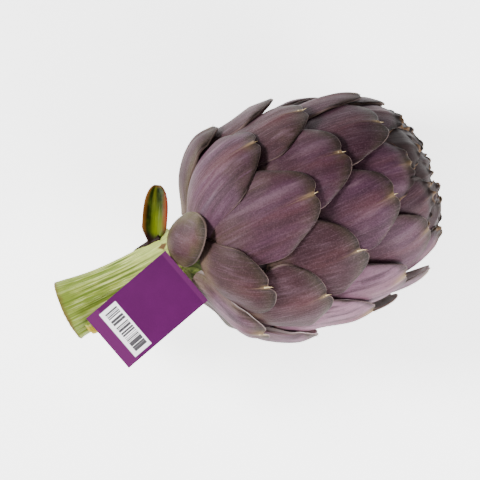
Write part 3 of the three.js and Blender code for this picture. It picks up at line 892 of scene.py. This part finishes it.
def core_skin():
    """Green at the neck, darker next to the head as partly painted shade under the lowest bracts, then dark
    purple-brown as painted shade deep between the bracts.
    """
    p = Paint("core_skin", CORE, Specular_IOR_Level=0.2)
    clouds = p.noise(p.place(), 220, 3)
    lengthwise = p.node("ShaderNodeMapping", {}, {"Vector": p.place(), "Scale": (60, 700, 700)})
    fibres = p.noise(lengthwise, 1.0, 3)
    neck = p.attribute("from_neck")
    # Dark and darker purple-brown: painted shade for the depth seen between the bracts.
    p.color = p.mix(p.fade(clouds, 0.35, 0.7), "dark", "darker")
    # The green under the lowest bracts is darker than the pale neck green below it: partly its own colour,
    # partly painted shade.
    green = p.mix(p.fade(fibres, 0.35, 0.65), "green", "pale_green")
    p.lay(p.fade(neck + clouds * 4, 4, 0), green)
    p.lay(p.fade(neck + clouds * 3, -4.5, -7), "neck")
    return p.finish(0.5 + clouds * 0.2, fibres * 0.7 + clouds * 0.3, 0.0004)


piece("head_core", [core_part()], "head", core_skin())

# %% [markdown]
# The stem is a tube carried along a gently drooping line. Eleven ribs run down it, and finer fibres
# between them. It flares at the neck, and at the cut, where the knife left a slightly oblique face. The
# ribs could be a bump alone, but the outline shows them, so they are in the mesh.

# %% The stem
STEM_CUT = -67.9
CUT_SLANT, CUT_BULGE = 0.088, 1.2
STEM_WAIST, WAIST_RADIUS = -42, 12.2
CUT_FLARE, NECK_FLARE = 2.4, 3.3
STEM_RIBS, RIB_DEPTH = 11, 0.026
STEM_SKEW, STEM_DROOP = 0.068, 2.2
FACE_RINGS = np.array([
    (0.04, 0.5), (0.2, 0.5), (0.36, 0.42), (0.5, 0.3), (0.62, 0.24), (0.72, 0.12), (0.80, 0.0), (0.86, 0.02),
    (0.91, 0.0), (0.95, 0.06), (0.975, 0.22), (1.0, 0.5), (1.0, 0.7), (1.0, 1.0)])


def stem_aside(along):
    """The middle line runs a little aslant."""
    return STEM_OFFSET + STEM_SKEW * (along + 5.5)


def stem_up(along):
    """The middle line droops as the distance from the head to the power 1.5."""
    return -STEM_DROOP * np.clip((STEM_END - along) / (STEM_END - STEM_CUT), 0, 1) ** 1.5


def stem_radius(along):
    """Waist radius + flare to the cut ^1.6 + flare to the neck ^2.2."""
    to_cut = np.clip((STEM_WAIST - along) / (STEM_WAIST - STEM_CUT), 0, 1)
    to_neck = np.clip((along - STEM_WAIST) / (STEM_END - STEM_WAIST), 0, 1)
    return WAIST_RADIUS + CUT_FLARE * to_cut ** 1.6 + NECK_FLARE * to_neck ** 2.2


def stem_part(columns=STEM_RIBS * 24):
    """Radius = flare x (1 + rib cosine + finer fibre cosines + knots); the first rings cross the cut
    face, each at a share of the radius and sunk by its own depth."""
    angle = np.linspace(0, 2 * math.pi, columns + 1)[None, :-1]
    face, sink = (column[:, None] for column in FACE_RINGS.T)
    length_steps = np.linspace(STEM_CUT + 1.6, STEM_END, 110)[:, None]
    along = np.concatenate([STEM_CUT + sink, length_steps])
    share = np.concatenate([face, np.ones_like(length_steps)])
    twist = 0.6 * np.sin(along / 25)
    rib = 0.7 * np.cos(STEM_RIBS * angle + twist) + 0.45 * np.cos(7 * angle - twist + 2)
    rib = rib + 0.3 * np.cos(18 * angle + 1)
    sharp = np.sign(rib) * np.abs(rib) ** 0.8
    fibre = np.cos(37 * angle + 0.5 * np.sin(along / 9))
    fibre = fibre + 0.7 * np.cos(61 * angle - 0.4 * np.sin(along / 6 + 1))
    knots = 0.012 * np.sin(along / 7 + 3 * angle) * np.sin(along / 11 + 1)
    cut_grain = 0.10 * np.sin(29 * angle) * np.sin(9 * share)
    relief = 1 + RIB_DEPTH * sharp * share + 0.0045 * fibre * share + knots * share
    radius = stem_radius(along) * share * relief
    near_cut = np.clip(1 - (along - STEM_CUT) / 4, 0, 1)
    bulge = CUT_BULGE * near_cut * (np.cos(angle) ** 2 - 0.3 * np.sin(angle) ** 6 * share)
    x = along - CUT_SLANT * near_cut * radius * np.sin(angle) - bulge + cut_grain * (share < 0.97)
    rings = placed(x, stem_aside(along) + radius * np.sin(angle), stem_up(along) + radius * np.cos(angle))
    values = {"rib": sharp * share + 0 * along, "from_cut": along - STEM_CUT + 0 * angle,
              "around": angle + 0 * along, "face": share + 0 * angle}
    return closed_tube(rings, values)


waist, cut = 2 * stem_radius(STEM_WAIST), 2 * stem_radius(STEM_CUT)
print(f"the stem is {waist:.1f} mm thick at its waist and {cut:.1f} at its cut")

# %% [markdown]
# The torn base of a lower leaf still clings to the stem's near side. It is a small sheet wrapped round
# the stem with a ragged edge. The skin of both has pale ribs and greener grooves; it browns at the rim
# of the cut, and the face shows a paler pith.

# %% The stub and the stem's skin
STUB_ALONG, STUB_HALF = -58.2, 3.8
SCAR_AROUND, SCAR_FROM_CUT = 0.66, 53.5
STEM = palette(
    green=(118, 134, 46), pale=(156, 166, 82), deep=(92, 112, 34), light=(180, 190, 106),
    thread=(202, 208, 134), dark_thread=(88, 108, 32), groove=(70, 92, 26), speck=(104, 102, 42),
    cut_green=(86, 102, 26), neck=(184, 194, 108), rim=(84, 62, 28), scar=(76, 32, 26),
    pith=(222, 214, 172), outer_pith=(188, 184, 120), pith_grain=(160, 140, 88),
    stub=(176, 150, 20), stub_speck=(84, 52, 14))


def on_stem(along, angle, radius):
    """Points round the stem's middle line, at an angle from straight up towards the far side."""
    return placed(along, stem_aside(along) + radius * np.sin(angle), stem_up(along) + radius * np.cos(angle))


def stub_part(rows=16, columns=31):
    """A torn scale that wraps the stem's near side: radius = the stem's + a low arch, with a ragged edge."""
    v, u = np.meshgrid(np.linspace(0, 1, rows), np.linspace(-1, 1, columns), indexing="ij")
    ragged = 0.25 * np.sin(9 * u + 1) + 0.18 * np.sin(23 * u)
    along = STUB_ALONG + u * (STUB_HALF - 1.5 * v) + 0.8 * v
    down = np.radians(38 + 50 * v * (1 - 0.2 * u * u) + 3 * ragged * v)
    above = 0.6 + 2.2 * np.sin(math.pi * np.clip(v, 0, 0.9)) + 0.12 * np.sin(17 * u)
    above = above - 1.4 * np.abs(u) ** 4
    radius = stem_radius(along) + above
    edge = np.sqrt(np.clip(1 - v ** 6, 0, 1))
    inside = radius - (2.2 - 1.2 * v) * (0.35 + 0.65 * edge)
    values = {"rib": 0.2 + 0 * u, "from_cut": 10 + 0 * u, "around": 2 + v * 0.4, "face": 1 + v}
    return closed_sheet(on_stem(along, -down, radius), on_stem(along, -down, inside), values)


def stem_skin():
    """Pale ribs, greener grooves, fibre lines; browned at the cut's rim, pale pith on its face. Face is
    the share of the radius there, 1 on the stem's side and more on the stub."""
    p = Paint("stem_skin", STEM, Specular_IOR_Level=0.14)
    rib, from_cut = p.attribute("rib"), p.attribute("from_cut")
    around, face = p.attribute("around"), p.attribute("face")
    clouds = p.noise(p.place(), 150, 4)
    fibres = p.noise(p.vector(around * 15, from_cut * 0.07, 3.0), 1.0, 5, 0.7)
    specks = p.noise(p.vector(around * 14, from_cut * 0.5, 8.0), 1.0, 2)
    lines = p.noise(p.vector(around * 8, from_cut * 0.022, 5.0), 1.0, 2, 0.5)
    grooves = p.noise(p.vector(around * 12, from_cut * 0.016, 21.0), 1.0, 1, 0.4)
    threads = p.noise(p.vector(around * 17, from_cut * 0.07, 9.0), 1.0, 2, 0.5)
    p.color = p.mix(p.fade(rib * 0.1 + clouds * 0.8 + fibres, 0.75, 1.15), "green", "pale")
    p.lay(p.fade(lines, 0.47, 0.36) * 0.75, "deep")
    p.lay(p.fade(lines, 0.56, 0.64) * 0.45, "light")
    p.lay(p.fade(threads, 0.56, 0.63) * 0.6, "thread")
    p.lay(p.fade(threads, 0.42, 0.35) * 0.7, "dark_thread")
    p.lay(p.fade(grooves, 0.41, 0.36) * 0.85, "groove")
    p.lay(p.fade(specks, 0.58, 0.72) * 0.4, "speck")
    p.lay(p.fade(from_cut + clouds * 16, 40, 4) * 0.6, "cut_green")
    p.lay(p.fade(from_cut + clouds * 8, 36, 56) * 0.5, "neck")
    p.lay(p.fade(from_cut + clouds * 2.4, 3.2, 1.4) * p.fade(face, 0.9, 0.99) * 0.9, "rim")
    from_scar = abs(around - SCAR_AROUND) * 14 + abs(from_cut - SCAR_FROM_CUT)
    p.lay(p.fade(from_scar + clouds * 2, 4, 2.6) * 0.9, "scar")
    pith = p.mix(p.fade(face + clouds * 0.2, 0.55, 0.9), "pith", "outer_pith")
    pith = p.mix(p.fade(p.noise(p.place(), 1500, 2), 0.5, 0.7) * 0.4, pith, "pith_grain")
    p.lay(p.fade(face, 0.985, 0.95), pith)
    p.lay(p.fade(face + clouds * 0.3, 1.15, 1.5) * 0.85, "stub")
    p.lay(p.fade(face, 1.1, 1.3) * p.fade(specks, 0.52, 0.62) * 0.7, "stub_speck")
    return p.finish(0.5 + clouds * 0.2, fibres * 0.7 + clouds * 0.25, 0.0006)


piece("ribbed_stem", [stem_part(), stub_part()], "stem", stem_skin())

# %% [markdown]
# One small leaf stands out from the far side of the stem. It is thick and spoon-shaped, with a foot that
# runs down the stem. A flat plane bent by a modifier would stay thin at the rim, so the blade is a closed
# sheet of its own thickness, dished across and rolled over at the margins.

# %% The stem leaf
LEAF_ROOT = (-18.4, 12.4)
LEAF_TIP = (-6.5, 37.7)
LEAF_HALF_WIDE = 5.9
LEAF_THICK = 1.1
CLASP_FROM, CLASP_TO = -14.5, -28
CLASP_RISE, CLASP_THICK = 1.5, 1.2


def leaf_part(rows=64, columns=35):
    """Width: a narrow heel, then an ellipse; height: rising, dished across, rolled over at the margins."""
    v, u = np.meshgrid(np.linspace(0, 1, rows), crowded(columns, -1), indexing="ij")
    forward = np.subtract(LEAF_TIP, LEAF_ROOT)
    length = np.hypot(*forward)
    forward = forward / length
    oval = np.clip(1.01 - np.abs((v - 0.4) / 0.61) ** 3, 0.0, 1) ** 0.5
    wide = np.where(v < 0.4, 0.45 + 0.55 * smooth(v / 0.3), oval)
    sideways = -u * LEAF_HALF_WIDE * wide
    along = LEAF_ROOT[0] + forward[0] * v * length - forward[1] * sideways
    aside = LEAF_ROOT[1] + forward[1] * v * length + forward[0] * sideways
    margin = np.exp(-(((1 - np.abs(u)) * 6) ** 2))
    up = 5.5 + 3.5 * v + 2.0 * u * u * wide - 3 * v * v - 0.5 * margin + 0.15 * np.sin(11 * v + 3 * u)
    from_edge = np.minimum((1 - np.abs(u)) * LEAF_HALF_WIDE * wide, (1 - v) * length)
    rounded = 0.4 * (1 - np.sqrt(1 - np.clip(1 - from_edge / 0.8, 0, 1) ** 2))
    front, back = placed(along, aside, up - rounded), placed(along, aside, up - LEAF_THICK + rounded)
    return closed_sheet(front, back, {"across": u, "along": v, "from_edge": from_edge})


def clasp_part(rows=30, columns=13):
    """The leaf's foot runs down the stem: radius = the stem's + a low ridge that thins out lengthwise."""
    v, u = np.meshgrid(np.linspace(0, 1, rows), np.linspace(-1, 1, columns), indexing="ij")
    along = CLASP_FROM + (CLASP_TO - CLASP_FROM) * v
    angle = np.radians(70 + 12 * v + u * (13 - 9 * v) + 2 * np.sin(9 * v))
    ridge = (1 - u * u) * (1 - v) ** 0.7
    radius = stem_radius(along) + 0.35 + CLASP_RISE * ridge
    values = {"across": 0.1 * u, "along": 0.05 - 0.05 * v, "from_edge": (1 - np.abs(u)) * 3}
    return closed_sheet(on_stem(along, angle, radius), on_stem(along, angle, radius - CLASP_THICK), values)


print(f"the leaf is {math.dist(LEAF_ROOT, LEAF_TIP):.0f} mm long and {2 * LEAF_HALF_WIDE:.0f} mm wide")

# %% [markdown]
# The leaf's colours change across it: a dark green hollow, a yellow-green streak towards the tip,
# brown-orange on one margin and red on the other, and a maroon base that clasps the stem. They follow
# the blade's own width and length, so a bend in the leaf would carry them along.

# %% The leaf's skin
LEAF = palette(
    hollow=(20, 30, 3), green=(50, 62, 9), streak=(94, 106, 0), middle=(108, 110, 22), brown=(104, 62, 20),
    orange=(112, 56, 6), red=(124, 34, 26), rim=(124, 76, 50), tip=(96, 58, 26), base=(26, 8, 7))


def leaf_skin():
    """Dark green, a streak right of the middle, brown left margin, orange and red right one, dark base."""
    p = Paint("leaf_skin", LEAF, Specular_IOR_Level=0.09)
    u, v, edge = p.attribute("across"), p.attribute("along"), p.attribute("from_edge")
    clouds = p.noise(p.place(), 260, 4)
    veins = p.noise(p.vector(u * 5, v * 1.5, 2.0), 1.0, 3)
    p.color = p.mix(p.fade(clouds, 0.35, 0.7), "hollow", "green")
    streak = p.fade(u, -0.5, 0.05) * p.fade(u, 0.95, 0.4) * p.fade(v, 0.02, 0.25)
    p.lay(streak * p.fade(v + clouds * 0.3 + u * 0.2, 1.0, 0.5) * 0.9, "streak")
    p.lay(p.fade(abs(u + v * 0.2), 0.3, 0.02) * p.fade(v, 0.5, 0.85) * 0.5, "middle")
    p.lay(p.fade(u, -0.55, -0.85) * 0.8, "brown")
    p.lay(p.fade(u, 0.45, 0.8) * p.fade(v, 0.15, 0.4) * p.fade(v, 0.95, 0.7) * 0.8, "orange")
    p.lay(p.fade(u, 0.72, 0.95) * p.fade(v, 0.2, 0.5) * 0.85, "red")
    p.lay(p.fade(edge, 0.6, 0.1) * 0.5, "rim")
    p.lay(p.fade(v + clouds * 0.05, 0.95, 1.02) * 0.7, "tip")
    p.lay(p.fade(v + clouds * 0.12 + u * 0.07, 0.28, 0.13) * 0.96, "base")
    return p.finish(0.36 + clouds * 0.2, veins * 0.6 + clouds * 0.4, 0.0005)


piece("spoon_leaf", [leaf_part(), clasp_part()], "stem_leaf", leaf_skin())

# %% [markdown]
# The card tag lies on the stem, slopes with it and curls down a little past the stem's crest. A card is
# a thin closed sheet with crisp edges. Its print is plain: deep purple, a paler band at each end, and a
# white panel with plain stripes, all placed by the card's own width and length in millimetres.

# %% The card tag
TAG_LONG, TAG_SHORT, TAG_THICK = 48.8, 30.6, 0.7
TAG_TURN = math.radians(199.6)
TAG_CORNER = (-13.9, 7.6, 16.7)
TAG_FALL, TAG_BEND, TAG_CREST = 0.075, 0.0026, -3
PLAIN_ENDS = (2.4, 41.9)
PANEL_SIDES, PANEL_ENDS = (2.7, 28.7), (33.1, 43.1)
STRIPE_SIDES, STRIPE_ENDS = (4.65, 26.85), (34.25, 41.15)
STRIPES_PER_MM = 3.3
CARD = palette(
    purple=(68, 3, 64), worn=(74, 6, 70), band=(84, 27, 76), panel=(238, 236, 238), ink=(30, 24, 32))


def card_part(rows=90, columns=60):
    """Height: the corner's + the fall along the stem - the bend past the crest squared."""
    v, u = np.meshgrid(crowded(rows, -1) / 2 + 0.5, crowded(columns, -1) / 2 + 0.5, indexing="ij")
    long_way = (math.cos(TAG_TURN), math.sin(TAG_TURN))
    from_end, from_side = v * TAG_LONG, u * TAG_SHORT
    along = TAG_CORNER[0] + long_way[0] * from_end - long_way[1] * from_side
    aside = TAG_CORNER[1] + long_way[1] * from_end + long_way[0] * from_side
    curl = TAG_BEND * np.minimum(0, aside - TAG_CREST) ** 2
    up = TAG_CORNER[2] + TAG_FALL * (along - TAG_CORNER[0]) - curl
    values = {"from_end": from_end, "from_side": from_side}
    return closed_sheet(placed(along, aside, up + TAG_THICK), placed(along, aside, up), values)


def card_print():
    """Deep purple card, paler ends, a white panel with stripes: a step is inked where its draw is high."""
    p = Paint("card", CARD, Specular_IOR_Level=0.12)
    end, side = p.attribute("from_end"), p.attribute("from_side")
    paper = p.noise(p.place(), 1200, 3)
    p.color = p.mix(p.fade(p.noise(p.place(), 90, 2), 0.35, 0.7) * 0.5, "purple", "worn")
    p.lay((1 - p.band(end, *PLAIN_ENDS, 0.3)) * 0.8, "band")
    p.lay(p.band(side, *PANEL_SIDES, 0.2) * p.band(end, *PANEL_ENDS, 0.2), "panel")
    step = (side * STRIPES_PER_MM).math("FLOOR")
    chance = p.node("ShaderNodeTexWhiteNoise", {"noise_dimensions": "1D"}, {"W": step}, "Value")
    striped = p.band(side, *STRIPE_SIDES, 0.05) * p.band(end, *STRIPE_ENDS, 0.05)
    p.lay(p.fade(chance, 0.30, 0.31) * striped * 0.95, "ink")
    return p.finish(0.5 + paper * 0.14, paper, 0.00006)


piece("card_tag", [card_part()], "tag", card_print())

# %% [markdown]
# The table is a plain pale sheet far larger than the view, a hair below the resting spot so that the two
# never share a surface. It glows as a light table does, which whitens the ground and lifts the shade
# under the head.

# %% The table
TABLE_HALF, TABLE_DROP = 1500, 0.2
TABLE = palette(white=(244, 244, 244), whiter=(248, 248, 248))

floor_mesh = bpy.data.meshes.new("floor")
square = ((-1, -1), (1, -1), (1, 1), (-1, 1))
corners = [(x * TABLE_HALF * MM, y * TABLE_HALF * MM, -TABLE_DROP * MM) for x, y in square]
floor_mesh.from_pydata(corners, [], [(0, 1, 2, 3)])
floor = bpy.data.objects.new("floor", floor_mesh)
bpy.context.scene.collection.objects.link(floor)
table = Paint("pale_table", TABLE, Emission_Color=(1, 1, 1, 1), Emission_Strength=2.3)
grain = table.noise(table.place(), 40, 2)
table.color = table.mix(grain, "white", "whiter")
floor_mesh.materials.append(table.finish(0.75 + grain * 0.1, grain, 0.00002))
print("table laid,", 2 * TABLE_HALF, "mm wide")

# %% [markdown]
# Every piece is clipped to the box of the solids as it is made, so the dressed artichoke stays inside it.
